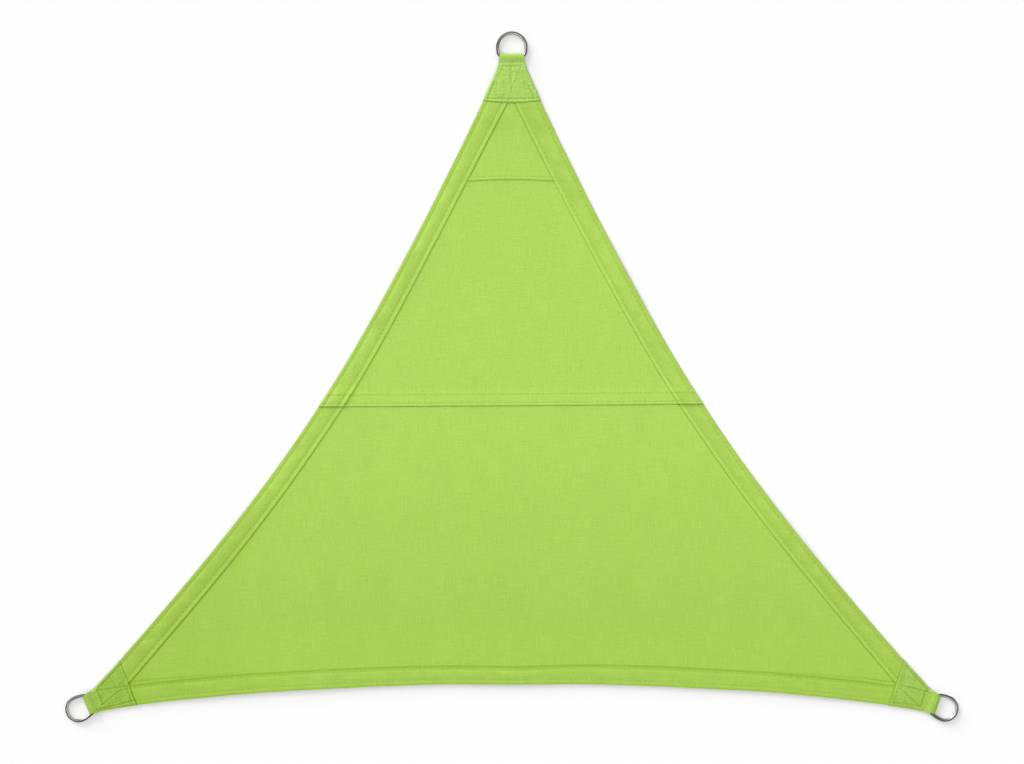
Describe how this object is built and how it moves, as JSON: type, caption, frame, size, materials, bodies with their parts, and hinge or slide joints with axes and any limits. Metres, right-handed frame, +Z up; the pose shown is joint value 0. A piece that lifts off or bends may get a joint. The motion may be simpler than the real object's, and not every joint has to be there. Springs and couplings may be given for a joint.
{
  "type": "shade sail",
  "caption": "Triangular cloth shade sail laid flat, with concave hemmed edges, a lapped cross seam, a patch below its apex and a steel D-ring held in a sewn strip at each corner.",
  "frame": {"origin": "on the ground, under the middle of the sail's outline box", "axes": "+Z up out of the cloth's face, +Y from the base edge to the apex, +X along the base edge to the right-hand ring of the picture"},
  "size_m": [2.0594, 1.5924, 0.0104],
  "materials": {
    "lime_cloth": "lime-green woven polyester, matt",
    "lime_tape": "the same woven polyester, sewn in several layers",
    "polished_steel": "polished steel wire"
  },
  "bodies": {
    "root": {"sail_panel_upper": "lime_cloth", "sail_panel_lower": "lime_cloth", "apex_patch": "lime_cloth", "corner_cap_top": "lime_tape", "corner_cap_left": "lime_tape", "corner_cap_right": "lime_tape", "d_ring_top": "polished_steel", "d_ring_left": "polished_steel", "d_ring_right": "polished_steel"}
  },
  "joints": []
}
